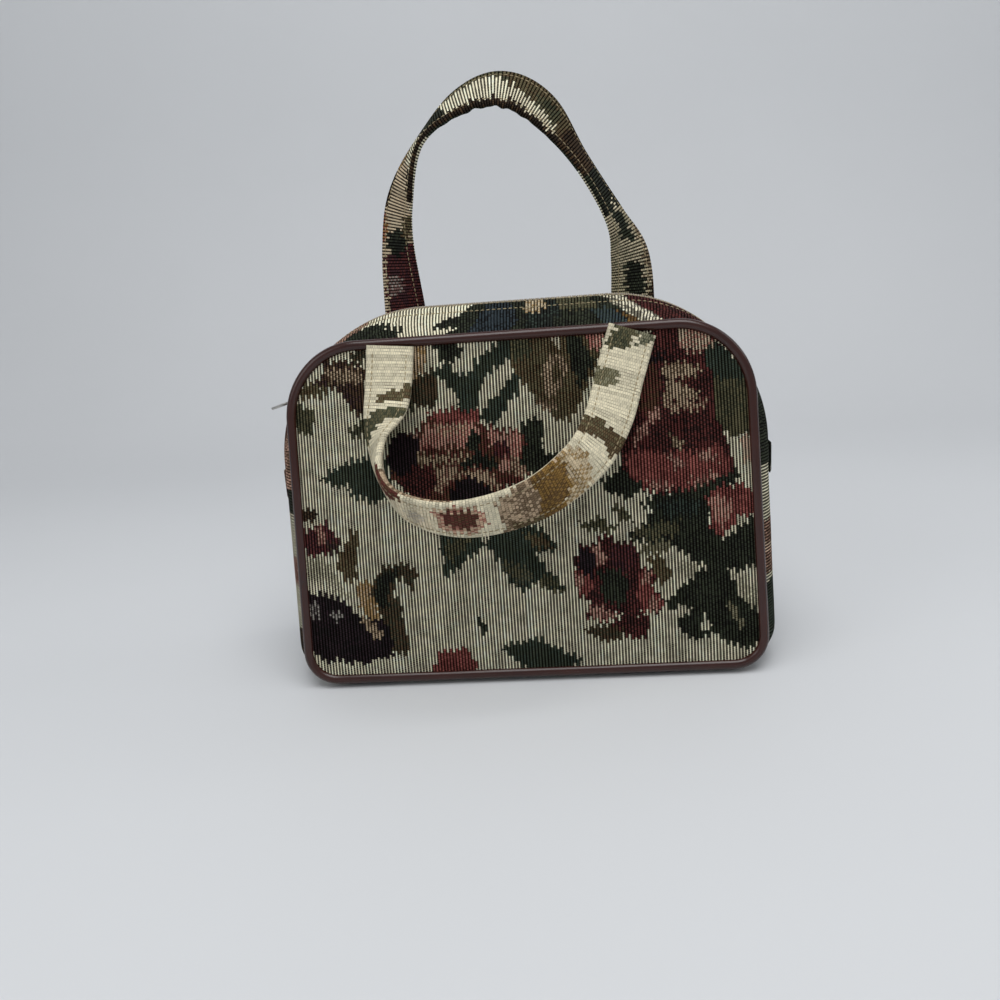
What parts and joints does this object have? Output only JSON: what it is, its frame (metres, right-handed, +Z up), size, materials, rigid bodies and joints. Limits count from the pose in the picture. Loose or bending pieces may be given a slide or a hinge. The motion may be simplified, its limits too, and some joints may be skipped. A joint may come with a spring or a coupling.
{
  "type": "cosmetic bag",
  "caption": "Small upright fabric bag with piped front and back panels, a gusset round its sides and base, a zip over its top and two strap handles.",
  "frame": {"origin": "on the floor under the middle of the base, at mount base", "axes": "+Z up, -Y towards the front panel, +X to the right seen from the front"},
  "size_m": [0.2435, 0.1252, 0.2843],
  "materials": {
    "tapestry": "woven rib tapestry",
    "piping": "satin vinyl",
    "zip_tape": "woven tape",
    "zip_coil": "nylon coil",
    "zip_metal": "plated die-cast metal",
    "lining": "plain lining"
  },
  "bodies": {
    "bag": {"front_panel": "tapestry", "back_panel": "tapestry", "lower_gusset": "tapestry", "zip_strip_front": "tapestry", "zip_strip_rear": "tapestry", "piping_front": "piping", "piping_rear": "piping", "handle_front": "tapestry", "handle_rear": "tapestry", "end_tab_left": "tapestry", "end_tab_right": "tapestry", "zip_tape_front": "zip_tape", "zip_tape_rear": "zip_tape", "zip_coil_front": "zip_coil", "zip_coil_rear": "zip_coil", "lining_front": "lining", "lining_back": "lining", "lining_gusset": "lining"},
    "slider": {"zip_slider": "zip_metal"},
    "pull": {"zip_pull": "zip_metal"}
  },
  "joints": [
    {"name": "slider_travel", "type": "hinge", "parent": "bag", "child": "slider", "pos_m": [-0.044, 0, 0.1065], "axis": [0, 1, 0], "range_deg": [-18, 60]},
    {"name": "pull_swing", "type": "hinge", "parent": "slider", "child": "pull", "pos_m": [-0.11297, 0, 0.13721], "axis": [0, 1, 0], "range_deg": [-39, 111]}
  ]
}
